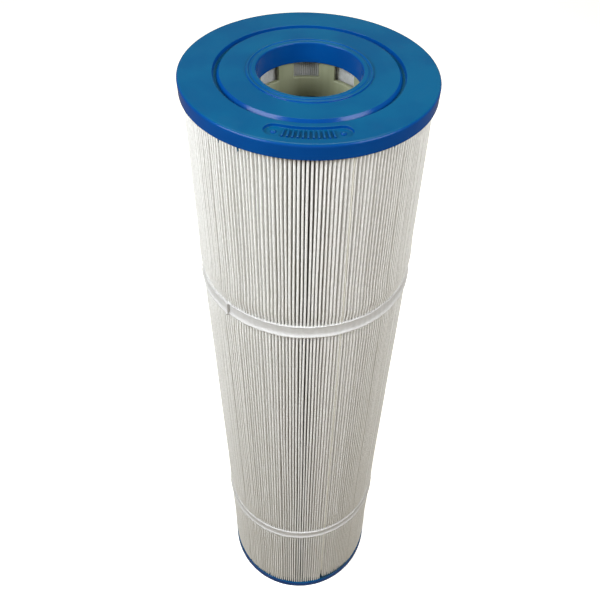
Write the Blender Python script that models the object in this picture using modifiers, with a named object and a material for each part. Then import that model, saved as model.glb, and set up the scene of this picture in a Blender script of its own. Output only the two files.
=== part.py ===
"""A pleated filter cartridge for a pool or a spa.

Two cast resin end caps hold a slotted core and one sheet of pleated media, and two
tapes go round the pleats. The axis is Z, the foot is at z = 0, and the name pocket in
the top cap faces -Y. Sizes are in metres.
"""

from math import atan2, cos, pi, radians, sin, tau

import bmesh
import bpy
from mathutils import Matrix, Vector

# Driving dimensions
BODY_HEIGHT = 0.490  # from the foot to the flat face of the top cap
CAP_RADIUS = 0.0625
CAP_SIDE = 0.008  # height of a cap's outer side
BORE_RADIUS = 0.0255
MEDIA_RADIUS = 0.0606
CORE_INNER = 0.0273
CORE_OUTER = 0.0297
GAP = 0.0003  # clearance between pieces that touch
OVERCUT = 0.001  # by which a cutter runs past what it cuts
FRONT = radians(-90.0)

# End caps
CAP_PLATE = 0.0043  # resin above the ends of the media and the core
SLEEVE_LENGTH = 0.0098
SLEEVE_WALL = 0.0012
EDGE_FILLET = 0.0012
FOOT_CHAMFER = 0.0006
BORE_FILLET = 0.0008
COLLAR_RADIUS = 0.0303
COLLAR_RISE = 0.0008
COLLAR_VALLEY = 0.0005
INNER_LIP = 0.0022
OUTER_LIP = 0.0010
GROOVE_INNER = 0.0428
GROOVE_OUTER = 0.0460
GROOVE_DEPTH = 0.0018
CAP_STEPS = 64

# Name pocket in the top cap, with plain bars where a mark would be
POCKET_RADIUS = 0.053  # of its middle line
POCKET_WIDTH = 0.0096
POCKET_ANGLE = radians(26.0)  # between the centres of its round ends
POCKET_DEPTH = 0.0008
POCKET_STEPS = 8
MARK_RISE = 0.0005
PIN_RADIUS = 0.0011
PIN_STEPS = 12
BAR_COUNT = 9
BAR_WIDTH = 0.0008
BAR_LENGTH = 0.0042
BAR_ANGLE = radians(2.35)  # from one bar to the next

# Core sections
CORE_SECTIONS = 4
WINDOWS = 8
WINDOW_ANGLE = radians(27.0)
WINDOW_PHASE = radians(4.1)  # of the first window's centre, anticlockwise from +Y
END_HOOP = 0.0052
SHORT_WINDOW = 0.0087
HOOP = 0.011
SPIGOT_LENGTH = 0.004
JOINT_STEPS = 48

# Media and its seam
PLEATS = 215
PLEAT_FLUTE = 0.0016  # depth of the flutes in the media's block
MEDIA_BORE_STEPS = 48
SEAM_PLEAT = 10  # pleats from the front to the seam

# Bands
BAND_HEIGHT = 0.010
BAND_THICKNESS = 0.0005
BAND_STEPS = 64
UPPER_BAND_Z = 0.370
LOWER_BAND_Z = 0.1112
UPPER_LAP_START = radians(198.0)
LOWER_LAP_START = radians(60.0)
LAP_ANGLE = radians(22.0)
LAP_STEPS = 6


def clear_scene():
    for obj in list(bpy.data.objects):
        bpy.data.objects.remove(obj)


def new_collection(name):
    collection = bpy.data.collections.new(name)
    bpy.context.scene.collection.children.link(collection)
    return collection


def new_material(name, colour, roughness):
    material = bpy.data.materials.new(name)
    material.use_nodes = True
    shader = material.node_tree.nodes["Principled BSDF"]
    shader.inputs["Base Color"].default_value = (*colour, 1.0)
    shader.inputs["Roughness"].default_value = roughness
    shader.inputs["Metallic"].default_value = 0.0
    material.diffuse_color = (*colour, 1.0)
    return material


# Objects


def mesh_of(name, bm):
    bmesh.ops.recalc_face_normals(bm, faces=bm.faces)
    mesh = bpy.data.meshes.new(name)
    bm.to_mesh(mesh)
    bm.free()
    return mesh


def add_part(name, mesh, material):
    """A sub-part, shaded smooth except at its real edges."""
    mesh.materials.append(material)
    mesh.shade_smooth()
    mesh.set_sharp_from_angle(angle=radians(35.0))
    obj = bpy.data.objects.new(name, mesh)
    parts.objects.link(obj)
    return obj


def add_cutter(name, bm, parent=None):
    obj = bpy.data.objects.new(name, mesh_of(name, bm))
    obj.hide_render = True
    obj.display_type = "WIRE"
    obj.parent = parent
    cutters.objects.link(obj)
    return obj


def boolean(obj, operation, other):
    modifier = obj.modifiers.new(f"{operation.lower()} {other.name}", "BOOLEAN")
    modifier.operation = operation
    modifier.object = other


def finished_mesh(obj):
    """The object's mesh with its modifiers applied, which are then taken off."""
    graph = bpy.context.evaluated_depsgraph_get()
    mesh = bpy.data.meshes.new_from_object(obj.evaluated_get(graph))
    obj.modifiers.clear()
    return mesh


# Shapes


def polar(radius, angle, z=0.0):
    return Vector((radius * cos(angle), radius * sin(angle), z))


def plain(*corners):
    """Outline corners with no fillet."""
    return [(radius, z, 0.0, 0) for radius, z in corners]


def filleted(corners):
    """An outline through (radius, z, fillet, steps) corners, each fillet an arc."""
    points = []
    for index, (radius, z, fillet, steps) in enumerate(corners):
        corner = Vector((radius, z))
        if not fillet:
            points.append(corner)
            continue
        before = (Vector(corners[index - 1][:2]) - corner).normalized()
        after = (Vector(corners[(index + 1) % len(corners)][:2]) - corner).normalized()
        half_angle = before.angle(after) / 2
        centre = corner + (before + after).normalized() * fillet / sin(half_angle)
        reach = fillet * cos(half_angle) / sin(half_angle)
        first = (corner + before * reach - centre).normalized()
        last = (corner + after * reach - centre).normalized()
        for step in range(steps + 1):
            points.append(centre + fillet * first.slerp(last, step / steps))
    return points


def turned(name, corners, steps, material):
    """A closed outline, listed down its outer side, turned round the axis."""
    outline = filleted(corners)
    count = len(outline)
    mesh = bpy.data.meshes.new(name)
    mesh.from_pydata(
        [(point.x, 0.0, point.y) for point in outline],
        [(index, (index + 1) % count) for index in range(count)],
        [],
    )
    mesh.materials.append(material)
    obj = bpy.data.objects.new(name, mesh)
    parts.objects.link(obj)
    screw = obj.modifiers.new("turn", "SCREW")
    screw.steps = steps
    screw.render_steps = steps
    screw.use_merge_vertices = True
    screw.merge_threshold = 0.00001
    screw.use_smooth_shade = True
    return obj


def add_box(bm, size, angle, centre_radius, centre_z):
    """A box with its Y side along the radius at the given angle."""
    box = bmesh.ops.create_cube(bm, size=1.0)["verts"]
    bmesh.ops.scale(bm, vec=size, verts=box)
    place = Matrix.Translation(polar(centre_radius, angle, centre_z))
    turn = Matrix.Rotation(angle - pi / 2, 4, "Z")
    bmesh.ops.transform(bm, matrix=place @ turn, verts=box)


def add_drum(bm, radius, z_low, z_high, segments, centre=(0.0, 0.0)):
    """A solid cylinder between two heights."""
    drum = bmesh.ops.create_cone(
        bm,
        cap_ends=True,
        segments=segments,
        radius1=radius,
        radius2=radius,
        depth=z_high - z_low,
    )["verts"]
    bmesh.ops.translate(bm, vec=(*centre, (z_low + z_high) / 2), verts=drum)


def add_sector(bm, radii, heights, start, angle, steps):
    """A block that bends round the axis, between two radii and two heights."""
    inner, outer = radii
    low, high = heights
    corners = [(inner, low), (outer, low), (outer, high), (inner, high)]
    ring = [bm.verts.new(polar(radius, start, z)) for radius, z in corners]
    edges = [bm.edges.new((ring[index - 1], ring[index])) for index in range(4)]
    bmesh.ops.spin(
        bm,
        geom=ring + edges,
        angle=angle,
        steps=steps,
        axis=(0.0, 0.0, 1.0),
        cent=(0.0, 0.0, 0.0),
        use_merge=angle == tau,
    )
    bmesh.ops.holes_fill(bm, edges=[edge for edge in bm.edges if edge.is_boundary])


def add_prism(bm, outline, height):
    """A closed outline raised by the given height."""
    face = bm.faces.new([bm.verts.new(point) for point in outline])
    raised = bmesh.ops.extrude_face_region(bm, geom=[face], use_keep_orig=True)
    tops = [part for part in raised["geom"] if isinstance(part, bmesh.types.BMVert)]
    bmesh.ops.translate(bm, vec=(0.0, 0.0, height), verts=tops)


# End caps, drawn with the flat face at z = 0 and the pocket for the pleats below it


def cap_body():
    """A cap's outline from the face's outer edge, round the media pocket, to the sleeve."""
    pocket_outer = MEDIA_RADIUS + GAP
    pocket_inner = BORE_RADIUS + SLEEVE_WALL
    return [
        (CAP_RADIUS, 0.0, EDGE_FILLET, 3),
        (CAP_RADIUS, -CAP_SIDE, FOOT_CHAMFER, 1),
        *plain(
            (pocket_outer, -CAP_SIDE),
            (pocket_outer, -CAP_PLATE),
            (pocket_inner, -CAP_PLATE),
            (pocket_inner, -SLEEVE_LENGTH),
            (BORE_RADIUS, -SLEEVE_LENGTH),
        ),
    ]


def collar():
    """The raised rim round the bore, with a shallow valley between its two lips."""
    inner_lip = BORE_RADIUS + INNER_LIP
    outer_lip = COLLAR_RADIUS - OUTER_LIP
    valley = COLLAR_RISE - COLLAR_VALLEY
    return [
        (BORE_RADIUS, COLLAR_RISE, BORE_FILLET, 2),
        *plain(
            (inner_lip, COLLAR_RISE),
            (inner_lip + COLLAR_VALLEY, valley),
            (outer_lip - COLLAR_VALLEY, valley),
            (outer_lip, COLLAR_RISE),
            (COLLAR_RADIUS, COLLAR_RISE),
            (COLLAR_RADIUS, 0.0),
        ),
    ]


def ring_groove():
    return plain(
        (GROOVE_INNER, 0.0),
        (GROOVE_INNER, -GROOVE_DEPTH),
        (GROOVE_OUTER, -GROOVE_DEPTH),
        (GROOVE_OUTER, 0.0),
    )


def pocket_outline():
    """A slot with round ends, bent round the axis at the front."""
    half_angle = POCKET_ANGLE / 2
    reach = POCKET_WIDTH / 2
    outline = []
    for side in (1, -1):
        for step in range(POCKET_STEPS + 1):
            share = 2 * step / POCKET_STEPS - 1
            angle = FRONT + side * share * half_angle
            outline.append(polar(POCKET_RADIUS + side * reach, angle, -POCKET_DEPTH))
        end_angle = FRONT + side * half_angle
        centre = polar(POCKET_RADIUS, end_angle, -POCKET_DEPTH)
        facing = end_angle if side > 0 else end_angle + pi
        for step in range(1, POCKET_STEPS):
            outline.append(centre + polar(reach, facing + pi * step / POCKET_STEPS))
    return outline


def cut_name_pocket(cap):
    """The recess with round ends, its two pin heads, and a row of plain bars."""
    slot = bmesh.new()
    add_prism(slot, pocket_outline(), 2 * POCKET_DEPTH)
    marks = bmesh.new()
    for side in (-1, 1):
        centre = polar(POCKET_RADIUS, FRONT + side * POCKET_ANGLE / 2).xy
        top = MARK_RISE - POCKET_DEPTH
        add_drum(marks, PIN_RADIUS, -2 * POCKET_DEPTH, top, PIN_STEPS, centre)
    for index in range(BAR_COUNT):
        angle = FRONT + (index - (BAR_COUNT - 1) / 2) * BAR_ANGLE
        size = (BAR_WIDTH, BAR_LENGTH, 2 * MARK_RISE)
        add_box(marks, size, angle, POCKET_RADIUS, -POCKET_DEPTH)
    boolean(cap, "DIFFERENCE", add_cutter("name_pocket", slot, cap))
    boolean(cap, "UNION", add_cutter("name_pocket_marks", marks, cap))


def make_end_caps():
    """The bottom cap is the top one turned over, with no collar and no name pocket."""
    resin = new_material("cast_resin_blue", (0.004, 0.105, 0.262), 0.35)
    top = turned("top_end_cap", cap_body() + collar() + ring_groove(), CAP_STEPS, resin)
    cut_name_pocket(top)
    top.location.z = BODY_HEIGHT
    flush_bore = [(BORE_RADIUS, 0.0, BORE_FILLET, 2)]
    outline = cap_body() + flush_bore + ring_groove()
    bottom = turned("bottom_end_cap", outline, CAP_STEPS, resin)
    bottom.rotation_euler.x = pi


# Core


def core_wall(name, body_height):
    """A section's slotted wall as an open sheet, from its spigot's foot to its top.

    Going round, the edges are a window's start, middle and end. Going up, they are the
    spigot and then hoops and windows by turns.
    """
    starts = [
        pi / 2 + WINDOW_PHASE - WINDOW_ANGLE / 2 + index * tau / WINDOWS
        for index in range(WINDOWS)
    ]
    angles = [start + share * WINDOW_ANGLE for start in starts for share in (0.0, 0.5, 1.0)]
    angles.append(starts[0] + tau)
    tall = (body_height - 2 * END_HOOP - 2 * SHORT_WINDOW - 3 * HOOP) / 2
    spaces = (END_HOOP, SHORT_WINDOW, HOOP, tall, HOOP, tall, HOOP, SHORT_WINDOW, END_HOOP)
    levels = [-SPIGOT_LENGTH, 0.0]
    for space in spaces:
        levels.append(levels[-1] + space)
    bm = bmesh.new()
    columns = [[bm.verts.new(polar(CORE_OUTER, angle, z)) for z in levels] for angle in angles]
    for column, (left, right) in enumerate(zip(columns, columns[1:])):
        is_bar = column % 3 == 2
        for row in range(len(levels) - 1):
            is_hoop = row == 0 or row % 2 == 1
            if is_bar or is_hoop:
                bm.faces.new((left[row], right[row], right[row + 1], left[row + 1]))
    bmesh.ops.remove_doubles(bm, verts=bm.verts, dist=0.00001)
    return mesh_of(name, bm)


def make_core():
    """Equal sections, each with a spigot below that plugs into the socket of the next."""
    plastic = new_material("core_plastic_cream", (0.72, 0.70, 0.56), 0.45)
    foot = CAP_PLATE + GAP
    pitch = (BODY_HEIGHT - 2 * foot - SPIGOT_LENGTH) / CORE_SECTIONS
    body_height = pitch - GAP
    joint_radius = (CORE_INNER + CORE_OUTER) / 2
    socket = bmesh.new()
    socket_floor = body_height - SPIGOT_LENGTH - GAP
    socket_radius = joint_radius + GAP / 2
    add_drum(socket, socket_radius, socket_floor, body_height + OVERCUT, JOINT_STEPS)
    shoulder = bmesh.new()
    radii = (joint_radius - GAP / 2, CORE_OUTER + OVERCUT)
    add_sector(shoulder, radii, (-SPIGOT_LENGTH - OVERCUT, 0.0), 0.0, tau, JOINT_STEPS)

    first = add_part("core_section_1", core_wall("core_section", body_height), plastic)
    wall = first.modifiers.new("wall", "SOLIDIFY")
    wall.thickness = CORE_OUTER - CORE_INNER
    wall.offset = -1.0
    boolean(first, "DIFFERENCE", add_cutter("core_socket", socket))
    boolean(first, "DIFFERENCE", add_cutter("core_shoulder", shoulder))
    section_mesh = finished_mesh(first)
    first.data = section_mesh
    first.location.z = foot + SPIGOT_LENGTH
    for index in range(1, CORE_SECTIONS):
        section = bpy.data.objects.new(f"core_section_{index + 1}", section_mesh)
        section.location.z = first.location.z + index * pitch
        parts.objects.link(section)


# Media and its seam


def make_media():
    """The folded sheet as one block, with a flute for each of its pleats."""
    fabric = new_material("spun_polyester_white", (0.80, 0.80, 0.80), 0.9)
    foot = CAP_PLATE + GAP
    height = BODY_HEIGHT - 2 * foot
    pitch = tau / PLEATS
    outline = []
    for pleat in range(PLEATS):
        outline.append(polar(MEDIA_RADIUS, FRONT + pleat * pitch))
        outline.append(polar(MEDIA_RADIUS - PLEAT_FLUTE, FRONT + (pleat + 0.5) * pitch))
    block = bmesh.new()
    add_prism(block, outline, height)
    media = add_part("pleated_media", mesh_of("pleated_media", block), fabric)
    media.location.z = foot
    bore = bmesh.new()
    add_drum(bore, CORE_OUTER + GAP, -OVERCUT, height + OVERCUT, MEDIA_BORE_STEPS)
    boolean(media, "DIFFERENCE", add_cutter("core_space", bore, media))


def make_seam():
    """A line of glue in one flute, where the two ends of the sheet are joined."""
    glue = new_material("hot_melt_milky", (0.78, 0.77, 0.70), 0.4)
    pitch = tau / PLEATS
    angle = FRONT + (SEAM_PLEAT + 0.5) * pitch
    half_flute = MEDIA_RADIUS * pitch / 2
    flank = atan2(half_flute, PLEAT_FLUTE)
    apex = MEDIA_RADIUS - PLEAT_FLUTE + GAP / sin(flank)
    face = MEDIA_RADIUS - GAP / 3
    half_angle = (face - apex) * half_flute / PLEAT_FLUTE / face
    foot = CAP_SIDE + GAP
    bead = bmesh.new()
    corners = [polar(apex, angle), polar(face, angle - half_angle), polar(face, angle + half_angle)]
    add_prism(bead, corners, BODY_HEIGHT - 2 * foot)
    add_part("media_seam_bead", mesh_of("media_seam_bead", bead), glue).location.z = foot


# Bands


def make_band(name, centre_z, lap_start, tape):
    """A tape round the pleats, with the lap of its two ends as a second layer."""
    inner = MEDIA_RADIUS + GAP
    outer = inner + BAND_THICKNESS
    half = BAND_HEIGHT / 2
    outline = plain((outer, half), (outer, -half), (inner, -half), (inner, half))
    band = turned(name, outline, BAND_STEPS, tape)
    lap = bmesh.new()
    radii = (inner + BAND_THICKNESS / 2, outer + BAND_THICKNESS)
    add_sector(lap, radii, (GAP - half, half - GAP), lap_start, LAP_ANGLE, LAP_STEPS)
    boolean(band, "UNION", add_cutter(f"{name}_lap", lap, band))
    band.location.z = centre_z


def make_bands():
    tape = new_material("band_tape_white", (0.82, 0.82, 0.81), 0.6)
    make_band("upper_band", UPPER_BAND_Z, UPPER_LAP_START, tape)
    make_band("lower_band", LOWER_BAND_Z, LOWER_LAP_START, tape)


clear_scene()
parts = new_collection("filter_cartridge")
cutters = new_collection("cutters")
make_end_caps()
make_core()
make_media()
make_seam()
make_bands()
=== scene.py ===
"""The looks of a pleated filter cartridge for a pool or a spa.

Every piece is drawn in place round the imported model's own sizes: two cast resin caps,
one sheet of pleated media with its glued seam, two tapes, and a slotted core.
The axis is Z, the foot is at z = 0 and the name pocket in the top cap faces -Y.
Lengths are in metres.
"""

from math import atan2, cos, exp, hypot, pi, radians, sin, tau
from random import Random

import bmesh
import bpy
from mathutils import Matrix, Vector, noise


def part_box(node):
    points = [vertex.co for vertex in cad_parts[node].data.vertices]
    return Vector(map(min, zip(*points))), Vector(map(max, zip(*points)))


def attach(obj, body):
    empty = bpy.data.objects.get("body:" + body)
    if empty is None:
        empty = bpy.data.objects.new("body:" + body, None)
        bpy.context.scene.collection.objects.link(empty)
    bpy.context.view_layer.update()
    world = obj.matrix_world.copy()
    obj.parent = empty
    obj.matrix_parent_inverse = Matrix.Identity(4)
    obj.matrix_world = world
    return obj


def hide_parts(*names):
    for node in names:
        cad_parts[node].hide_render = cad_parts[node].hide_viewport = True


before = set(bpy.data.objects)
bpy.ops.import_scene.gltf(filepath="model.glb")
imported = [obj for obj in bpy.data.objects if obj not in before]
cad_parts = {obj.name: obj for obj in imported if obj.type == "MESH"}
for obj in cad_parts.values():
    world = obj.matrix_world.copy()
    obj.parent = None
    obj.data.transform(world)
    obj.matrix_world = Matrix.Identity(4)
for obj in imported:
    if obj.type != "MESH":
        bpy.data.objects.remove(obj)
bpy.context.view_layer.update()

MM = 0.001
FRONT = radians(-90.0)

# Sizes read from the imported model
CAP_LOW, CAP_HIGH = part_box("top_end_cap")
MEDIA_LOW, MEDIA_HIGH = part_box("pleated_media")
SEAM_LOW, SEAM_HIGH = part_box("media_seam_bead")
CORE_BOXES = [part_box(f"core_section_{number}") for number in (1, 2, 3, 4)]
BAND_BOXES = {name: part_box(name) for name in ("upper_band", "lower_band")}
BAND_MIDDLES = {name: (low.z + high.z) / 2 for name, (low, high) in BAND_BOXES.items()}
COLLAR_RISE = 0.8 * MM
CAP_RADIUS = CAP_HIGH.x
BODY_HEIGHT = CAP_HIGH.z - COLLAR_RISE
CORE_OUTER = CORE_BOXES[0][1].x

# End caps
CAP_STEPS = 216
CAP_SIDE = 8.0 * MM
SIDE_DRAFT = 0.1 * MM
UNDERSIDE_OUTER = 56.0 * MM
UNDERSIDE_INNER = 33.0 * MM
UNDERSIDE_RISE = 0.4 * MM
BORE_RADIUS = 25.5 * MM
SLEEVE_LENGTH = BODY_HEIGHT - CAP_LOW.z
SLEEVE_RADIUS = 26.7 * MM
SLEEVE_FLARE = 0.6 * MM
COLLAR_RADIUS = 30.3 * MM
COLLAR_VALLEY = 0.5 * MM
GROOVE_INNER = 42.8 * MM
GROOVE_OUTER = 46.0 * MM
GROOVE_DEPTH = 2.1 * MM
GROOVE_SLOPE = 1.45 * MM  # how far the inner wall runs outward on its way down
GROOVE_DRAFT = 0.1 * MM
SUPPORT = 0.3 * MM  # distance from a corner to the loop that holds the flat beside it

# Name pocket
POCKET_RADIUS = 53.4 * MM
POCKET_REACH = 4.4 * MM
POCKET_HALF_ANGLE = radians(16.2)
POCKET_FLOOR = -1.4 * MM
POCKET_STEPS = 14
BAR_COUNT = 11
BAR_ANGLE = radians(2.35)
BAR_SIZE = (0.85 * MM, 5.4 * MM)
BAR_RISE = 0.9 * MM
BAR_ROUNDING = 0.22 * MM
PIN_RADIUS = 1.3 * MM
PIN_SQUASH = 0.8

# Pleated media
PLEATS = 215
SEAM_PLEAT = 10.5  # pleats from the front to the seam
FOLD_RADIUS = 30.25 * MM  # of the inner folds, which stand on the core
FOLD_HALF = 0.24 * MM
TIP_HALF = 0.53 * MM
UNFOLDED_LENGTH = 13.30
SHEET_SLACK = 0.22 * MM
TIP_UNEVENNESS = 0.20 * MM  # from one pleat to the next
TIP_DRIFT = 0.42 * MM  # sideways, shared by neighbours
TIP_STRAY = 0.16 * MM  # sideways, each on its own
TIP_LEAN = 0.10 * MM
CAP_HOLD = 14.0 * MM  # how far from a cap the sheet is still drawn in
BAND_HOLD = 22.0 * MM  # the same for a band, from the edge of its grip
BAND_GRIP = 3.0 * MM
LEAST_SLACK = 0.12
PLEAT_SECTION = (  # share of the depth, fold, side, and share of the pleat laid flat
    (0.0, -0.5, 0.0, 0.0),
    (0.012, -0.5, 1.0, 0.004),
    (0.988, 0.0, -1.0, 0.484),
    (0.9975, 0.0, -0.62, 0.492),
    (1.0, 0.0, 0.0, 0.5),
    (0.9975, 0.0, 0.62, 0.508),
    (0.988, 0.0, 1.0, 0.516),
    (0.012, 0.5, -1.0, 0.996),
)
BAND_ROWS = (-13, -8.5, -5.5, 0, 5.5, 8.5, 13)  # of the sheet's mesh, from a band's middle, mm
FREE_ROWS = (  # the other rows of the sheet's mesh, in mm
    (11, 15, 20, 27, 36, 48, 64, 82, 140, 162, 186, 210, 234, 258, 282)
    + (306, 330, 350, 396, 414, 432, 450, 466)
)
FRONT_OPENING = 0.055  # how much wider the pleats stand at the front and the back
TIP_PROFILE = (  # height and radius of the pleats' tips, in mm
    (0, 60.5),
    (8, 61.5),
    (14, 61.9),
    (32, 62.0),
    (48, 61.5),
    (66, 61.2),
    (98, 61.5),
    (104, 60.9),
    (111, 60.8),
    (118, 60.9),
    (124, 61.4),
    (150, 61.0),
    (250, 61.2),
    (330, 61.3),
    (357, 61.4),
    (363, 61.0),
    (370, 60.9),
    (376, 61.2),
    (383, 62.0),
    (397, 61.3),
    (430, 60.9),
    (482, 60.4),
    (490, 60.4),
)
PARTINGS = (  # pleat, height, reach and width of the places where the pleats stand apart
    (SEAM_PLEAT, 12.0 * MM, 17.0 * MM, 0.85 * MM),
    (-14.5, 10.0 * MM, 9.0 * MM, 0.55 * MM),
    (6.5, 250.0 * MM, 60.0 * MM, 0.25 * MM),
    (-7.5, 180.0 * MM, 70.0 * MM, 0.22 * MM),
    (-20.5, 300.0 * MM, 60.0 * MM, 0.25 * MM),
    (18.5, 160.0 * MM, 50.0 * MM, 0.22 * MM),
)
PARTING_SPREAD = 2.5  # pleats

# Seam bead
SLIT_HEIGHT = 22.0 * MM  # of the open foot of the seam
BEAD_STEPS = 90
BEAD_SIDES = 8
BEAD_HALF = 0.42 * MM
BEAD_UNEVENNESS = 0.07 * MM
BEAD_STRETCH = 1.5  # how much deeper than wide it is
BEAD_SUNK = 0.75 * MM

# Resin creep
CREEP_OUTER = 60.3 * MM
CREEP_INNER = 57.0 * MM
CREEP_ROOT = 0.8 * MM
CREEP_PEAKS = (0.0, 0.4, 1.0, 0.4)  # share of the climb, from one pleat's tip to the next
CREEP_INSIDE = 0.55  # share of the climb on the inner side
LEAST_CLIMB = 0.5 * MM
MORE_CLIMB = 1.3 * MM
STRAY_ABOVE = 0.94
STRAY_CLIMB = 3.0 * MM
FLOOD_PLEATS = 19  # past the seam
FLOOD_FALL = 0.6
FLOOD_HEIGHT = 3.6 * MM
FLOOD_CLIMB = (1.0 * MM, 8.0 * MM)
FLOOD_PROUD = 0.25 * MM

# Bands
BAND_STEPS = 860
LAP_STEPS = 60
BAND_HALF = 4.3 * MM
TAPE_THICKNESS = 0.45 * MM
UPPER_WELT = 0.38 * MM
LOWER_WELT = 0.80 * MM
WELT_POINTS = 6
WELT_TURN = 32.0  # degrees from one point to the next
WELT_FLATNESS = 0.75
WELT_FOOT = 0.04 * MM
BAND_INSET = 0.1 * MM
LAPS = {"upper_band": radians(216.0), "lower_band": radians(71.0)}
LAP_ANGLE = radians(22.0)
LAP_GAP = 0.1 * MM
LAP_SHARE = 0.97  # of the tape's height, so that the lap's edges show
LIFTED_ANGLE = radians(4.0)
LAP_LIFT = 1.0 * MM
BAND_GAP = 0.12 * MM
BAND_SAG = 0.05 * MM
BAND_RIPPLE = 0.22 * MM
BAND_DRIFT = 0.35 * MM
BAND_WAVE = 0.30 * MM

# Core
WINDOWS = 8
WINDOW_ANGLE = radians(27.0)
WINDOW_PHASE = radians(4.1)
END_HOOP = 5.2 * MM
SHORT_WINDOW = 8.7 * MM
HOOP = 11.0 * MM
SPIGOT_LENGTH = 4.0 * MM
CORE_WALL = 2.4 * MM
CORE_ROUNDING = 0.5 * MM
WINDOW_STEPS = 6
RIB_STEPS = 4

# Camera
CAMERA_PLACE = (0.0, -0.29649, 0.64779)
CAMERA_YAW = 0.0536
CAMERA_PITCH = 0.8237
CAMERA_ROLL = 0.061
SENSOR = 36.0
LENS = 40.2
SHIFT = (-0.0489, 0.0060)
CLIP = (0.01, 20.0)

# Studio
LIGHTS = {  # azimuth, elevation, distance, size, power, colour and the height it faces
    "left_softbox": (-148.0, 31.0, 0.95, (0.60, 0.42), 13.2, (0.94, 0.98, 1.0), 0.50),
    "right_softbox": (-32.0, 31.0, 1.00, (0.55, 0.40), 9.6, (0.95, 0.98, 1.0), 0.50),
    "top_softbox": (90.0, 66.0, 1.1, (0.8, 0.6), 7.5, (1.0, 0.95, 0.70), 0.45),
    "front_fill": (-90.0, 14.0, 2.0, (1.4, 1.4), 3.0, (1.0, 0.87, 0.72), 0.15),
    "back_fill": (90.0, 4.0, 2.0, (1.4, 0.6), 5.0, (1.0, 0.92, 0.80), 0.20),
}
AMBIENT_COLOUR = (1.0, 0.82, 0.52, 1.0)
AMBIENT_STRENGTH = 0.21
FLOOR_HALF = 4.0
FLOOR_GAP = 0.05 * MM  # keeps the floor from lying in the foot's own plane
FLOOR_GLOW = 0.55


# Shading


class Value:
    """A socket of a material, with arithmetic that adds Math nodes."""

    def __init__(self, finish, socket):
        self.finish = finish
        self.socket = socket

    def maths(self, operation, first, second=0.0):
        settings = {"operation": operation}
        return self.finish.node("ShaderNodeMath", settings, {0: first, 1: second})

    def __add__(self, other):
        return self.maths("ADD", self, other)

    def __sub__(self, other):
        return self.maths("SUBTRACT", self, other)

    def __mul__(self, other):
        return self.maths("MULTIPLY", self, other)

    __radd__ = __add__
    __rmul__ = __mul__


class Finish:
    """A material and the nodes behind its shader."""

    def __init__(self, name, **uniform):
        self.material = bpy.data.materials.new(name)
        self.material.use_nodes = True
        self.tree = self.material.node_tree
        self.shader = self.tree.nodes["Principled BSDF"]
        for key, value in uniform.items():
            self.shader.inputs[key.replace("_", " ")].default_value = value

    def node(self, kind, settings=None, inputs=None, output=0):
        made = self.tree.nodes.new(kind)
        for key, value in (settings or {}).items():
            setattr(made, key, value)
        for key, value in (inputs or {}).items():
            self.feed(made.inputs[key], value)
        return Value(self, made.outputs[output])

    def feed(self, socket, value):
        if isinstance(value, Value):
            self.tree.links.new(value.socket, socket)
        else:
            socket.default_value = value

    def shade(self, **varying):
        for key, value in varying.items():
            self.feed(self.shader.inputs[key.replace("_", " ")], value)
        return self.material

    def place(self):
        return self.node("ShaderNodeTexCoord", output=3)

    def height(self):
        return self.node("ShaderNodeSeparateXYZ", None, {0: self.place()}, 2)

    def sheet_place(self, name):
        return self.node("ShaderNodeUVMap", {"uv_map": name})

    def stretched(self, vector, scale):
        return self.node("ShaderNodeMapping", None, {"Vector": vector, "Scale": scale})

    def noise(self, vector, scale, detail=2.0, roughness=0.5):
        inputs = {"Vector": vector, "Scale": scale, "Detail": detail, "Roughness": roughness}
        return self.node("ShaderNodeTexNoise", None, inputs)

    def wave(self, vector, direction, scale, distortion, detail):
        settings = {"wave_type": "BANDS", "bands_direction": direction}
        inputs = {"Vector": vector, "Scale": scale, "Distortion": distortion, "Detail": detail}
        return self.node("ShaderNodeTexWave", settings, inputs, 1)

    def ranged(self, value, start, end, low=0.0, high=1.0):
        inputs = {0: value, 1: start, 2: end, 3: low, 4: high}
        return self.node("ShaderNodeMapRange", {"interpolation_type": "SMOOTHSTEP"}, inputs)

    def mixed(self, factor, first, second):
        inputs = {0: factor, 6: first, 7: second}
        return self.node("ShaderNodeMix", {"data_type": "RGBA"}, inputs, 2)

    def bump(self, height, distance, strength=1.0, normal=None):
        inputs = {"Height": height, "Distance": distance, "Strength": strength}
        if normal:
            inputs["Normal"] = normal
        return self.node("ShaderNodeBump", None, inputs)


def rgb(red, green, blue):
    return (red, green, blue, 1.0)


def cast_resin():
    """Urethane with painted light: the flat faces are painted paler and greener, the sides
    deeper blue, by the way each face turns to the lamps.
    """
    finish = Finish("cast_resin_blue", Specular_IOR_Level=0.13)
    place = finish.place()
    clouds = finish.noise(place, 38.0, 3.0)
    patches = finish.noise(place, 140.0, 4.0, 0.6)
    specks = finish.noise(place, 2600.0, 2.0)
    clouded = finish.ranged(clouds, 0.35, 0.65)
    # painted light: the flat faces are paler and greener, the sides deeper blue, set by which
    # way each face turns
    painted_top_light = finish.mixed(clouded, rgb(0.0005, 0.063, 0.174), rgb(0.0010, 0.077, 0.190))
    painted_side_light = finish.mixed(clouded, rgb(0.0003, 0.047, 0.220), rgb(0.0006, 0.056, 0.245))
    facing = finish.node("ShaderNodeNewGeometry", output=1)
    upright = finish.node("ShaderNodeSeparateXYZ", None, {0: facing}, 2)
    painted_light_mask = finish.ranged(upright * upright, 0.45, 0.85)
    colour = finish.mixed(painted_light_mask, painted_side_light, painted_top_light)
    dull = finish.ranged(patches, 0.45, 0.75)
    roughness = 0.16 + 0.08 * dull + 0.05 * specks
    waves = finish.bump(finish.noise(place, 75.0, 2.0), 0.25 * MM, 0.5)
    skin = finish.bump(specks, 0.02 * MM, 0.5, waves)
    return finish.shade(Base_Color=colour, Roughness=roughness, Normal=skin)


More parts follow.
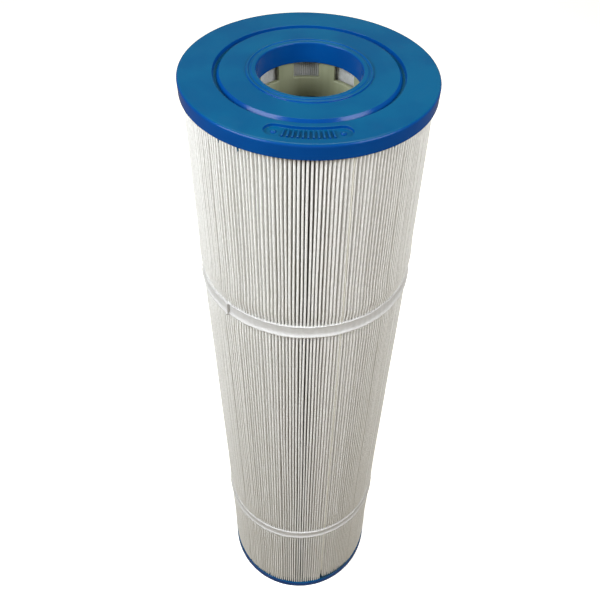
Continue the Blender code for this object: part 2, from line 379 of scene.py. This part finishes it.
def resin_film():
    """The thin edge of the resin, where it has crept up between the pleats."""
    finish = Finish("resin_film_blue", Specular_IOR_Level=0.2)
    place = finish.place()
    clouds = finish.noise(place, 300.0, 3.0)
    colour = finish.mixed(clouds, rgb(0.002, 0.040, 0.090), rgb(0.008, 0.085, 0.170))
    lumps = finish.bump(finish.noise(place, 900.0, 3.0), 0.15 * MM, 0.7)
    return finish.shade(Base_Color=colour, Roughness=0.35 + 0.2 * clouds, Normal=lumps)


def media_fabric():
    """Spun polyester: long fibres laid at random, denser and thinner clouds, creased folds."""
    finish = Finish("spun_polyester", Specular_IOR_Level=0.25, Sheen_Weight=0.15)
    sheet = finish.sheet_place("unfolded")
    along = finish.noise(finish.stretched(sheet, (900.0, 5200.0, 1.0)), 1.0, 3.0, 0.6)
    across = finish.noise(finish.stretched(sheet, (5200.0, 900.0, 1.0)), 1.0, 3.0, 0.6)
    clouds = finish.noise(sheet, 420.0, 4.0, 0.65)
    blotches = finish.noise(sheet, 60.0, 2.0)
    fibres = 0.5 * along + 0.5 * across
    tone = finish.ranged(0.55 * clouds + 0.45 * fibres, 0.34, 0.62)
    cloth = finish.mixed(tone, rgb(0.66, 0.665, 0.66), rgb(0.82, 0.822, 0.825))
    aged = finish.ranged(blotches, 0.40, 0.75, 0.0, 0.25)
    cloth = finish.mixed(aged, cloth, rgb(0.76, 0.755, 0.72))
    soaked = finish.mixed(wicking(finish), cloth, rgb(0.010, 0.085, 0.165))
    relief = finish.bump(fibres, 0.06 * MM, 0.8)
    relief = finish.bump(clouds, 0.12 * MM, 0.6, relief)
    return finish.shade(Base_Color=soaked, Roughness=0.78 + 0.2 * tone, Normal=relief)


def wicking(finish):
    """How far resin has soaked into the foot of the sheet, from 0 to 1."""
    place = finish.place()
    ragged = finish.noise(finish.stretched(place, (420.0, 420.0, 60.0)), 1.0, 3.0)
    reach = finish.ranged(ragged, 0.42, 0.75, 8.2 * MM, 11.0 * MM)
    return finish.ranged(finish.height() - reach, 0.6 * MM, -0.4 * MM)


def band_tape():
    """Woven polyester tape: fine ribs across it and a slight gloss."""
    finish = Finish("woven_tape", Specular_IOR_Level=0.4)
    tape = finish.sheet_place("tape")
    ribs = finish.wave(tape, "X", 450.0, 1.2, 2.0)
    threads = finish.wave(tape, "Y", 420.0, 1.0, 1.0)
    grain = finish.noise(tape, 600.0, 3.0)
    weave = 0.6 * ribs + 0.4 * threads
    tone = finish.ranged(0.5 * weave + 0.5 * grain, 0.25, 0.75)
    colour = finish.mixed(tone, rgb(0.50, 0.50, 0.51), rgb(0.61, 0.61, 0.62))
    relief = finish.bump(weave, 0.08 * MM, 0.7)
    return finish.shade(Base_Color=colour, Roughness=0.48 + 0.2 * grain, Normal=relief)


def core_plastic():
    """Moulded polypropylene, painted dark olive as painted shade for the inside of the bore:
    flow marks along the wall and a fine satin grain.
    """
    finish = Finish("moulded_core_plastic", Specular_IOR_Level=0.4)
    place = finish.place()
    flow = finish.noise(finish.stretched(place, (140.0, 140.0, 18.0)), 1.0, 3.0)
    grain = finish.noise(place, 3200.0, 2.0)
    # painted shade: the cream plastic is painted dark olive, the shade it lies in inside the
    # bore
    colour = finish.mixed(
        finish.ranged(flow, 0.35, 0.7), rgb(0.23, 0.245, 0.155), rgb(0.29, 0.305, 0.20)
    )
    skin = finish.bump(grain, 0.02 * MM, 0.6)
    skin = finish.bump(flow, 0.10 * MM, 0.5, skin)
    return finish.shade(Base_Color=colour, Roughness=0.42 + 0.15 * grain, Normal=skin)


def seam_glue():
    """Hot melt adhesive: milky, with a lumpy, half glossy skin."""
    finish = Finish("hot_melt_glue", Specular_IOR_Level=0.5)
    place = finish.place()
    lumps = finish.noise(place, 350.0, 3.0)
    colour = finish.mixed(lumps, rgb(0.70, 0.69, 0.62), rgb(0.84, 0.835, 0.79))
    skin = finish.bump(lumps, 0.3 * MM, 0.6)
    return finish.shade(Base_Color=colour, Roughness=0.34 + 0.2 * lumps, Normal=skin)


def floor_paper():
    """Matt white paper under the cartridge, with a glow that keeps it white."""
    finish = Finish(
        "white_paper",
        Specular_IOR_Level=0.0,
        Roughness=0.95,
        Emission_Color=rgb(1.0, 1.0, 1.0),
        Emission_Strength=FLOOR_GLOW,
    )
    tooth = finish.noise(finish.place(), 500.0, 2.0)
    colour = finish.mixed(tooth, rgb(0.90, 0.90, 0.90), rgb(0.93, 0.93, 0.93))
    return finish.shade(Base_Color=colour)


# Modelling helpers


def polar(radius, angle, z=0.0):
    return Vector((radius * cos(angle), radius * sin(angle), z))


def between(stops, at):
    """The value at a place on a line through (place, value) stops."""
    for (low, first), (high, second) in zip(stops, stops[1:]):
        if at <= high:
            share = min(max((at - low) / (high - low), 0.0), 1.0)
            share = share * share * (3 - 2 * share)
            return first + (second - first) * share
    return stops[-1][1]


def wander(angle, z, scale, rise, seed):
    """A smooth value from -1 to 1 that closes round the axis."""
    return noise.noise(Vector((scale * cos(angle) + seed, scale * sin(angle), rise * z)))


def filleted(corners):
    """A closed outline through (radius, z, fillet, steps) corners, each fillet an arc."""
    points = []
    for index, (radius, z, fillet, steps) in enumerate(corners):
        corner = Vector((radius, z))
        if not fillet:
            points.append(corner)
            continue
        before = (Vector(corners[index - 1][:2]) - corner).normalized()
        after = (Vector(corners[(index + 1) % len(corners)][:2]) - corner).normalized()
        half_angle = before.angle(after) / 2
        centre = corner + (before + after).normalized() * fillet / sin(half_angle)
        reach = fillet * cos(half_angle) / sin(half_angle)
        first = (corner + before * reach - centre).normalized()
        last = (corner + after * reach - centre).normalized()
        for step in range(steps + 1):
            points.append(centre + fillet * first.slerp(last, step / steps))
    return points


def supported(points):
    """The outline with a loop near each end of its long runs, which keeps them flat."""
    held = []
    for index, point in enumerate(points):
        after = points[(index + 1) % len(points)]
        held.append(point)
        run = after - point
        if run.length > 4 * SUPPORT:
            step = run.normalized() * SUPPORT
            held += [point + step, after - step]
    return held


def add_ring(bm, points):
    """A closed loop of edges through points."""
    ring = [bm.verts.new(point) for point in points]
    edges = [bm.edges.new((ring[index - 1], ring[index])) for index in range(len(ring))]
    return ring, edges


def add_spun(bm, points, steps, start=0.0, angle=tau):
    """A closed (radius, z) outline turned round the axis, wholly or by an angle."""
    ring, edges = add_ring(bm, [polar(point[0], start, point[1]) for point in points])
    whole = angle == tau
    bmesh.ops.spin(
        bm,
        geom=ring + edges,
        angle=angle,
        steps=steps,
        axis=(0.0, 0.0, 1.0),
        cent=(0.0, 0.0, 0.0),
        use_merge=whole,
    )
    if not whole:
        ends = [edge for edge in bm.edges if edge.is_boundary]
        bmesh.ops.holes_fill(bm, edges=ends)


def extruded(bm, edges):
    """A new row of faces from edges: its far vertices and its far edges."""
    made = bmesh.ops.extrude_edge_only(bm, edges=edges)["geom"]
    verts = {part for part in made if isinstance(part, bmesh.types.BMVert)}
    edges = [part for part in made if isinstance(part, bmesh.types.BMEdge)]
    return verts, [edge for edge in edges if verts.issuperset(edge.verts)]


def add_stack(bm, loops):
    """Closed loops of points joined one to the next, with both ends filled."""
    made = [add_ring(bm, loop)[1] for loop in loops]
    for lower, upper in zip(made, made[1:]):
        bmesh.ops.bridge_loops(bm, edges=lower + upper)
    bmesh.ops.holes_fill(bm, edges=made[0] + made[-1])


def mesh_of(name, bm, closed=True):
    """The finished mesh; a closed one gets its faces turned outward."""
    if closed:
        bmesh.ops.recalc_face_normals(bm, faces=bm.faces)
    mesh = bpy.data.meshes.new(name)
    bm.to_mesh(mesh)
    bm.free()
    return mesh


def add_piece(name, mesh, material, nodes=(), sharp=35.0):
    """A finished piece, which rides on the cartridge and stands for its CAD nodes."""
    mesh.materials.clear()
    mesh.materials.append(material)
    mesh.shade_smooth()
    mesh.set_sharp_from_angle(angle=radians(sharp))
    obj = bpy.data.objects.new(name, mesh)
    bpy.context.scene.collection.objects.link(obj)
    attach(obj, "root")
    if nodes:
        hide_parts(*nodes)
    return obj


def cut(mesh, cutter):
    """The mesh less the cutter's shape."""
    helpers = []
    for name, data in (("whole", mesh), ("cutter", cutter)):
        helpers.append(bpy.data.objects.new(name, data))
        bpy.context.scene.collection.objects.link(helpers[-1])
    modifier = helpers[0].modifiers.new("cut", "BOOLEAN")
    modifier.operation = "DIFFERENCE"
    modifier.solver = "EXACT"
    modifier.object = helpers[1]
    graph = bpy.context.evaluated_depsgraph_get()
    result = bpy.data.meshes.new_from_object(helpers[0].evaluated_get(graph))
    for helper in helpers:
        bpy.data.objects.remove(helper)
    return result


def hold_flats(obj):
    """Flat faces keep flat shading next to their fillets."""
    modifier = obj.modifiers.new("hold flats", "WEIGHTED_NORMAL")
    modifier.keep_sharp = True


# End caps, drawn with the flat face at z = 0 and the pleats below it


def cap_outline(bore):
    """A cap's closed outline, down its outer side, up its sleeve and out over its face."""
    corners = [
        (CAP_RADIUS, 0.0, 1.3 * MM, 8),
        (CAP_RADIUS - SIDE_DRAFT, -CAP_SIDE, 0.7 * MM, 4),
        (UNDERSIDE_OUTER, UNDERSIDE_RISE - CAP_SIDE, 0.3 * MM, 2),
        (UNDERSIDE_INNER, UNDERSIDE_RISE - CAP_SIDE, 0.3 * MM, 2),
        (SLEEVE_RADIUS + SLEEVE_FLARE, -CAP_SIDE, 0.3 * MM, 2),
        (SLEEVE_RADIUS, -SLEEVE_LENGTH, 0.4 * MM, 3),
        (BORE_RADIUS, -SLEEVE_LENGTH, 0.4 * MM, 3),
        *bore,
        (GROOVE_INNER, 0.0, 0.22 * MM, 4),
        (GROOVE_INNER + GROOVE_SLOPE, -GROOVE_DEPTH, 0.6 * MM, 6),
        (GROOVE_OUTER - GROOVE_DRAFT, -GROOVE_DEPTH, 0.7 * MM, 8),
        (GROOVE_OUTER, 0.0, 0.22 * MM, 4),
    ]
    return supported(filleted(corners))


def collar():
    """The raised rim round the bore: a rounded inner lip, a valley and an outer lip."""
    return [
        (BORE_RADIUS, COLLAR_RISE, 0.75 * MM, 6),
        (27.7 * MM, COLLAR_RISE, 0.4 * MM, 3),
        (28.2 * MM, COLLAR_RISE - COLLAR_VALLEY, 0.3 * MM, 3),
        (28.9 * MM, COLLAR_RISE - COLLAR_VALLEY, 0.3 * MM, 3),
        (29.4 * MM, COLLAR_RISE, 0.25 * MM, 3),
        (COLLAR_RADIUS - 0.1 * MM, COLLAR_RISE, 0.35 * MM, 4),
        (COLLAR_RADIUS, 0.0, 0.25 * MM, 3),
    ]


def pocket_loop(reach, z):
    """A slot with round ends, bent round the axis at the front."""
    loop = []
    for side in (1, -1):
        for step in range(POCKET_STEPS + 1):
            angle = FRONT + side * POCKET_HALF_ANGLE * (2 * step / POCKET_STEPS - 1)
            loop.append(polar(POCKET_RADIUS + side * reach, angle, z))
        end_angle = FRONT + side * POCKET_HALF_ANGLE
        centre = polar(POCKET_RADIUS, end_angle, z)
        facing = end_angle if side > 0 else end_angle + pi
        for step in range(1, POCKET_STEPS):
            loop.append(centre + polar(reach, facing + pi * step / POCKET_STEPS))
    return loop


def name_pocket():
    """What the name pocket takes out of the face: a dished floor and a rounded lip."""
    profile = (  # step past the pocket's reach, in mm, and height
        (-0.70, POCKET_FLOOR),
        (-0.35, POCKET_FLOOR + 0.06 * MM),
        (-0.12, POCKET_FLOOR + 0.22 * MM),
        (-0.03, POCKET_FLOOR + 0.60 * MM),
        (0.06, -0.12 * MM),
        (0.18, -0.03 * MM),
        (0.34, 0.002 * MM),
        (0.34, 1.0 * MM),
    )
    bm = bmesh.new()
    add_stack(bm, [pocket_loop(POCKET_REACH + reach * MM, z) for reach, z in profile])
    return mesh_of("name_pocket", bm)


def make_top_cap(resin):
    bm = bmesh.new()
    add_spun(bm, cap_outline(collar()), CAP_STEPS)
    mesh = cut(mesh_of("top_cap", bm), name_pocket())
    mesh.transform(Matrix.Translation((0.0, 0.0, BODY_HEIGHT)))
    hold_flats(add_piece("top_cap_resin", mesh, resin, ["top_end_cap"]))


def make_bottom_cap(resin):
    bore = [(BORE_RADIUS, 0.0, 0.8 * MM, 6)]
    bm = bmesh.new()
    add_spun(bm, cap_outline(bore), CAP_STEPS)
    mesh = mesh_of("bottom_cap", bm)
    mesh.transform(Matrix.Rotation(pi, 4, "X"))
    hold_flats(add_piece("bottom_cap_resin", mesh, resin, ["bottom_end_cap"]))


def make_pocket_marks(resin):
    """Plain bars where a name would be, and a pin head at each end of the pocket."""
    bm = bmesh.new()
    floor = BODY_HEIGHT + POCKET_FLOOR
    width, length = BAR_SIZE
    for index in range(BAR_COUNT):
        angle = FRONT + (index - (BAR_COUNT - 1) / 2) * BAR_ANGLE
        bar = bmesh.ops.create_cube(bm, size=1.0)["verts"]
        bmesh.ops.scale(bm, vec=(width, length, 2 * BAR_RISE), verts=bar)
        place = Matrix.Translation(polar(POCKET_RADIUS, angle, floor))
        turn = Matrix.Rotation(angle - pi / 2, 4, "Z")
        bmesh.ops.transform(bm, matrix=place @ turn, verts=bar)
    edges = [edge for edge in bm.edges if max(vert.co.z for vert in edge.verts) > floor]
    bmesh.ops.bevel(
        bm,
        geom=edges,
        offset=BAR_ROUNDING,
        segments=3,
        profile=0.5,
        affect="EDGES",
        material=-1,
    )
    for side in (-1, 1):
        dome = bmesh.ops.create_uvsphere(bm, u_segments=20, v_segments=10, radius=PIN_RADIUS)
        bmesh.ops.scale(bm, vec=(1.0, 1.0, PIN_SQUASH), verts=dome["verts"])
        centre = polar(POCKET_RADIUS, FRONT + side * POCKET_HALF_ANGLE, floor)
        bmesh.ops.translate(bm, vec=centre, verts=dome["verts"])
    add_piece("name_pocket_marks", mesh_of("name_pocket_marks", bm), resin)


# Pleated media


def pleat_angle(pleat):
    """The azimuth of a pleat, counted from the front; they stand wider there and behind."""
    turn = tau * pleat / PLEATS
    return FRONT + turn + FRONT_OPENING * sin(2 * turn)


def tip_radius(angle, z):
    """How far out the pleats stand at a height, with the slack of the sheet."""
    slack = SHEET_SLACK * wander(angle, z, 5.0, 14.0, 3.0)
    return between(TIP_PROFILE, z / MM) * MM + slack * calm(z)


def calm(z):
    """How free the sheet is at a height: almost held in the caps and bands, 1 away from them."""
    free = min(z - CAP_SIDE, BODY_HEIGHT - CAP_SIDE - z) / CAP_HOLD
    for middle in BAND_MIDDLES.values():
        free = min(free, (abs(z - middle) - BAND_GRIP) / BAND_HOLD)
    return min(max(free, LEAST_SLACK), 1.0)


def parting(pleat, z):
    """How far a pleat's tip is pushed aside where its neighbours stand apart."""
    push = 0.0
    for middle, height, reach, width in PARTINGS:
        off = (pleat - middle + PLEATS / 2) % PLEATS - PLEATS / 2
        tall = exp(-(((z - height) / reach) ** 2))
        push += width * tall * (1 if off > 0 else -1) * exp(-abs(off) / PARTING_SPREAD)
    return push


def media_levels():
    """Heights of the sheet's rows, closer together where its outline bends."""
    rows = [MEDIA_LOW.z, MEDIA_HIGH.z, CAP_SIDE, BODY_HEIGHT - CAP_SIDE]
    for middle in BAND_MIDDLES.values():
        rows += [middle + step * MM for step in BAND_ROWS]
    return sorted(rows + [z * MM for z in FREE_ROWS])


def pleat_habits():
    """Each pleat's own reach, thickness, place in the noise and lean."""
    draw = Random(7)
    return [
        (draw.uniform(-1, 1), draw.uniform(0.86, 1.12), draw.uniform(0, 60), draw.uniform(-1, 1))
        for _ in range(PLEATS)
    ]


def sheet_point(pleat, point, z, habit):
    """Where a point of a pleat's section stands at a height."""
    share, fold, side, _ = PLEAT_SECTION[point]
    reach, thickness, strand, lean = habit
    number = (pleat + SEAM_PLEAT + 0.5) % PLEATS
    depth = MEDIA_HIGH.x - FOLD_RADIUS
    if share < 0.5:
        radius = FOLD_RADIUS + share * depth
        return polar(radius, pleat_angle(number + fold) + side * FOLD_HALF / radius, z)
    angle = pleat_angle(number)
    loose = calm(z)
    radius = tip_radius(angle, z) + reach * TIP_UNEVENNESS * loose - (1.0 - share) * depth
    drift = TIP_DRIFT * wander(angle, z, 9.0, 9.0, 11.0)
    drift += TIP_STRAY * noise.noise(Vector((strand, 17.0, 14.0 * z)))
    drift += TIP_LEAN * lean
    aside = side * TIP_HALF * thickness + drift * loose + parting(number, z)
    return polar(radius, angle + aside / radius, z)


def make_media(fabric):
    """The pleated sheet, drawn as one open strip that starts and ends at the seam."""
    points = len(PLEAT_SECTION)
    steps = PLEATS * points
    levels = media_levels()
    habits = pleat_habits()
    bm = bmesh.new()
    column_layer = bm.verts.layers.int.new("column")
    row_layer = bm.verts.layers.int.new("row")
    strip = []
    for column in range(steps + 1):
        vert = bm.verts.new(polar(MEDIA_HIGH.x, tau * column / steps))
        vert[column_layer] = column
        strip.append(vert)
    edges = [bm.edges.new(pair) for pair in zip(strip, strip[1:])]
    for row in range(1, len(levels)):
        verts, edges = extruded(bm, edges)
        for vert in verts:
            vert[row_layer] = row
    for vert in bm.verts:
        pleat, point = divmod(vert[column_layer], points)
        vert.co = sheet_point(pleat, point, levels[vert[row_layer]], habits[pleat % PLEATS])
    unfold(bm, column_layer, row_layer, levels)
    bmesh.ops.reverse_faces(bm, faces=bm.faces)
    mesh = mesh_of("pleated_sheet", bm, closed=False)
    media = add_piece("pleated_sheet", mesh, fabric, ["pleated_media"], 75.0)


def unfold(bm, column_layer, row_layer, levels):
    """The sheet's own coordinates, in metres as it lies flat."""
    flat = bm.loops.layers.uv.new("unfolded")
    for face in bm.faces:
        for loop in face.loops:
            pleat, point = divmod(loop.vert[column_layer], len(PLEAT_SECTION))
            along = (pleat + PLEAT_SECTION[point][3]) * UNFOLDED_LENGTH / PLEATS
            loop[flat].uv = (along, levels[loop.vert[row_layer]])


def make_seam(glue):
    """The bead that closes the sheet's two ends, in the flute between their pleats."""
    foot = SEAM_LOW.z + SLIT_HEIGHT
    angle = pleat_angle(SEAM_PLEAT)
    out, aside = polar(1.0, angle), polar(1.0, angle + pi / 2)
    turns = [tau * side / BEAD_SIDES for side in range(BEAD_SIDES)]
    draw = Random(19)
    loops = []
    for step in range(BEAD_STEPS + 1):
        z = foot + (SEAM_HIGH.z - foot) * step / BEAD_STEPS
        wide = BEAD_HALF + BEAD_UNEVENNESS * draw.uniform(-1, 1)
        deep = BEAD_STRETCH * wide
        middle = polar(tip_radius(angle, z) - BEAD_SUNK, angle, z)
        loops.append(
            [middle + out * (deep * cos(turn)) + aside * (wide * sin(turn)) for turn in turns]
        )
    bm = bmesh.new()
    add_stack(bm, loops)
    mesh = mesh_of("seam_bead", bm)
    add_piece("seam_bead", mesh, glue, ["media_seam_bead"], 70.0)


# Resin that has crept up between the pleats


def flood(pleat):
    """From 0 to 1, how much resin ran up over the pleats just past the seam."""
    off = pleat - SEAM_PLEAT
    return (1.0 - off / FLOOD_PLEATS) ** FLOOD_FALL if 0 < off < FLOOD_PLEATS else 0.0


def creep(pleat, drawn, flooded):
    """How far the resin climbs at a pleat's tip and in the flute beside it."""
    run = flood(pleat) * flooded
    over = FLOOD_HEIGHT * run
    climb = LEAST_CLIMB + MORE_CLIMB * drawn[0] ** 2
    climb += (FLOOD_CLIMB[1] * drawn[1] + FLOOD_CLIMB[0]) * run
    if drawn[2] > STRAY_ABOVE:
        climb += STRAY_CLIMB * drawn[1]
    return over, over + climb


def make_creep(resin, name, seed, turn_over, flooded):
    """A ragged crown of resin, with a point in each flute."""
    draw = Random(seed)
    drawn = [[draw.random() for _ in range(3)] for _ in range(PLEATS)]
    parts = len(CREEP_PEAKS)
    steps = PLEATS * parts
    bm = bmesh.new()
    base = CAP_SIDE - CREEP_ROOT
    outline = [
        (CREEP_OUTER, base),
        (CREEP_OUTER, CAP_SIDE),
        (CREEP_INNER, CAP_SIDE),
        (CREEP_INNER, base),
    ]
    add_spun(bm, outline, steps, start=FRONT)
    for vert in bm.verts:
        turn = (atan2(vert.co.y, vert.co.x) - FRONT) % tau
        pleat, part = divmod(round(turn / tau * steps) % steps, parts)
        place = pleat + part / parts
        angle = pleat_angle(place)
        radius = hypot(vert.co.x, vert.co.y)
        outer = radius > (CREEP_OUTER + CREEP_INNER) / 2
        rise = 0.0
        if vert.co.z > CAP_SIDE - CREEP_ROOT / 2:
            tip, flute = creep(pleat, drawn[pleat], flooded)
            rise = (tip + (flute - tip) * CREEP_PEAKS[part]) * (1.0 if outer else CREEP_INSIDE)
        if outer:
            proud = tip_radius(angle, CAP_SIDE) + FLOOD_PROUD - radius
            radius += proud * min(1.0, 2.0 * flood(place)) * flooded
        vert.co = polar(radius, angle, vert.co.z + rise)
    mesh = mesh_of(name, bm)
    if turn_over:
        flip = Matrix.Translation((0, 0, BODY_HEIGHT)) @ Matrix.Rotation(pi, 4, "Y")
        mesh.transform(flip)
    add_piece(name, mesh, resin, sharp=60.0)


# Bands


def band_section():
    """A tape's closed section, down its outer face: a thin upper welt and a fuller lower one."""
    web, swell = TAPE_THICKNESS, TAPE_THICKNESS + WELT_FOOT
    upper = BAND_HALF - UPPER_WELT
    lower = BAND_HALF - LOWER_WELT
    points = [(0.0, BAND_HALF - BAND_INSET)]
    points += welt_points(upper, UPPER_WELT, 100.0)
    points += [(swell, upper - 1.3 * UPPER_WELT), (web, 1.2 * MM), (web, -0.6 * MM)]
    points += [(swell, 1.3 * LOWER_WELT - lower)]
    points += welt_points(-lower, LOWER_WELT, 60.0)
    return points + [(0.0, BAND_INSET - BAND_HALF), (0.0, 0.0)]


def welt_points(middle, size, first):
    """A welt's outer face, as an arc that turns down from an angle in degrees."""
    angles = [radians(first - WELT_TURN * step) for step in range(WELT_POINTS)]
    return [
        (BAND_INSET + WELT_FLATNESS * size * (1 + cos(angle)), middle + size * sin(angle))
        for angle in angles
    ]


def draped(point, name, seed):
    """Where a point of the tape's plain ring comes to lie on the pleats."""
    angle = atan2(point.y, point.x)
    out, up = hypot(point.x, point.y), point.z
    middle = BAND_MIDDLES[name]
    base = tip_radius(angle, middle) + BAND_GAP
    ripple = BAND_SAG * sin(angle * PLEATS * 0.5)
    ripple += BAND_RIPPLE * wander(angle, up, 16.0, 260.0, seed)
    wave = BAND_DRIFT * wander(angle, 0.0, 2.2, 0.0, seed + 4.0)
    wave += BAND_WAVE * wander(angle, up, 14.0, 200.0, seed + 9.0)
    to_end = (LAPS[name] + LAP_ANGLE / 2 - angle) % tau
    lift = 0.0
    if out > TAPE_THICKNESS + LAP_GAP and to_end < LIFTED_ANGLE:
        lift = LAP_LIFT * (1 - to_end / LIFTED_ANGLE) ** 2
    return polar(base + out + ripple + lift, angle, middle + up + wave)


def make_band(name, tape, seed):
    """A tape round the pleats: it sags a little from tip to tip, and its ends lap."""
    section = band_section()
    bm = bmesh.new()
    add_spun(bm, section, BAND_STEPS)
    cover = [(out + TAPE_THICKNESS + LAP_GAP, up * LAP_SHARE) for out, up in section]
    covers = bmesh.new()
    add_spun(covers, cover, LAP_STEPS, LAPS[name] - LAP_ANGLE / 2, LAP_ANGLE)
    lap_mesh = mesh_of("lap", covers, closed=False)
    bm.from_mesh(lap_mesh)
    bpy.data.meshes.remove(lap_mesh)
    for vert in bm.verts:
        vert.co = draped(vert.co, name, seed)
    lay_tape(bm)
    mesh = mesh_of(name, bm)
    add_piece(f"{name}_tape", mesh, tape, [name], 60.0)


def lay_tape(bm):
    """A tape's own coordinates, in metres along it and up it."""
    tape_layer = bm.loops.layers.uv.new("tape")
    for face in bm.faces:
        turns = [atan2(loop.vert.co.y, loop.vert.co.x) for loop in face.loops]
        for loop, turn in zip(face.loops, turns):
            near = turns[0] + (turn - turns[0] + pi) % tau - pi
            loop[tape_layer].uv = (near * MEDIA_HIGH.x, loop.vert.co.z)


# Core


def core_levels(body_height):
    """Where hoops and windows meet, from a section's foot up; windows are every other row."""
    tall = (body_height - 2 * END_HOOP - 2 * SHORT_WINDOW - 3 * HOOP) / 2
    spaces = (END_HOOP, SHORT_WINDOW, HOOP, tall, HOOP, tall, HOOP, SHORT_WINDOW, END_HOOP)
    levels = [0.0]
    for space in spaces:
        levels.append(levels[-1] + space)
    return levels


def make_core_tube(index, plastic):
    """One slotted section of the core, with rounded windows."""
    low, high = CORE_BOXES[index]
    foot = low.z + SPIGOT_LENGTH
    levels = core_levels(high.z - foot)
    starts = [
        pi / 2 + WINDOW_PHASE - WINDOW_ANGLE / 2 + number * tau / WINDOWS
        for number in range(WINDOWS)
    ]
    rib_angle = tau / WINDOWS - WINDOW_ANGLE
    angles = []
    for start in starts:
        angles += [start + WINDOW_ANGLE * step / WINDOW_STEPS for step in range(WINDOW_STEPS)]
        rib = start + WINDOW_ANGLE
        angles += [rib + rib_angle * step / RIB_STEPS for step in range(RIB_STEPS)]
    bm = bmesh.new()
    edges = add_ring(bm, [polar(CORE_OUTER, angle, foot) for angle in angles])[1]
    for level in levels[1:]:
        verts, edges = extruded(bm, edges)
        for vert in verts:
            vert.co.z = foot + level
    windows = []
    for face in bm.faces:
        centre = face.calc_center_median()
        row = sum(centre.z > foot + level for level in levels) - 1
        turn = (atan2(centre.y, centre.x) - starts[0]) % (tau / WINDOWS)
        if row % 2 == 1 and turn < WINDOW_ANGLE:
            windows.append(face)
    bmesh.ops.delete(bm, geom=windows, context="FACES")
    mesh = mesh_of(f"core_tube_{index + 1}", bm)
    tube = add_piece(mesh.name, mesh, plastic, [f"core_section_{index + 1}"])
    wall = tube.modifiers.new("wall", "SOLIDIFY")
    wall.thickness = CORE_WALL
    wall.offset = -1.0
    round_edges = tube.modifiers.new("rounded edges", "BEVEL")
    round_edges.width = CORE_ROUNDING
    round_edges.segments = 3
    round_edges.limit_method = "ANGLE"
    round_edges.angle_limit = radians(40.0)


# Studio


def make_floor(paper):
    """The floor, which neither lights the cartridge nor shows in its gloss."""
    bm = bmesh.new()
    below = Matrix.Translation((0.0, 0.0, -FLOOR_GAP))
    bmesh.ops.create_grid(bm, x_segments=1, y_segments=1, size=FLOOR_HALF, matrix=below)
    mesh = mesh_of("studio_floor", bm)
    mesh.materials.append(paper)
    floor = bpy.data.objects.new("studio_floor", mesh)
    bpy.context.scene.collection.objects.link(floor)
    floor.visible_diffuse = False
    floor.visible_glossy = False


def softbox(name, azimuth, elevation, distance, size, power, colour, aim):
    """A rectangular lamp that faces the cartridge's axis from a direction."""
    light = bpy.data.lights.new(name, "AREA")
    light.shape = "RECTANGLE"
    light.size, light.size_y = size
    light.energy = power
    light.color = colour
    lamp = bpy.data.objects.new(name, light)
    bpy.context.scene.collection.objects.link(lamp)
    reach = polar(cos(radians(elevation)), radians(azimuth), sin(radians(elevation)))
    lamp.location = Vector((0.0, 0.0, aim)) + distance * reach
    lamp.rotation_euler = reach.to_track_quat("Z", "Y").to_euler()


def make_lights():
    for name, settings in LIGHTS.items():
        softbox(name, *settings)
    world = bpy.data.worlds.new("studio")
    bpy.context.scene.world = world
    world.use_nodes = True
    sky = world.node_tree.nodes["Background"]
    sky.inputs["Color"].default_value = AMBIENT_COLOUR
    sky.inputs["Strength"].default_value = AMBIENT_STRENGTH


def make_camera():
    data = bpy.data.cameras.new("camera")
    data.sensor_width = SENSOR
    data.lens = LENS
    data.shift_x, data.shift_y = SHIFT
    data.clip_start, data.clip_end = CLIP
    camera = bpy.data.objects.new("camera", data)
    bpy.context.scene.collection.objects.link(camera)
    turn = Matrix.Rotation(-CAMERA_YAW, 4, "Z") @ Matrix.Rotation(pi / 2 - CAMERA_PITCH, 4, "X")
    roll = Matrix.Rotation(CAMERA_ROLL, 4, "Z")
    camera.matrix_world = Matrix.Translation(CAMERA_PLACE) @ turn @ roll
    bpy.context.scene.camera = camera
    bpy.context.scene.view_settings.view_transform = "Standard"


make_camera()
resin = cast_resin()
film = resin_film()
make_top_cap(resin)
make_bottom_cap(resin)
make_pocket_marks(resin)
make_media(media_fabric())
make_seam(seam_glue())
make_creep(film, "bottom_resin_creep", 23, False, 1.0)
make_creep(film, "top_resin_creep", 31, True, 0.0)
tape = band_tape()
for seed, band in enumerate(LAPS):
    make_band(band, tape, 20.0 + 7.0 * seed)
plastic = core_plastic()
for index in range(len(CORE_BOXES)):
    make_core_tube(index, plastic)
make_floor(floor_paper())
make_lights()
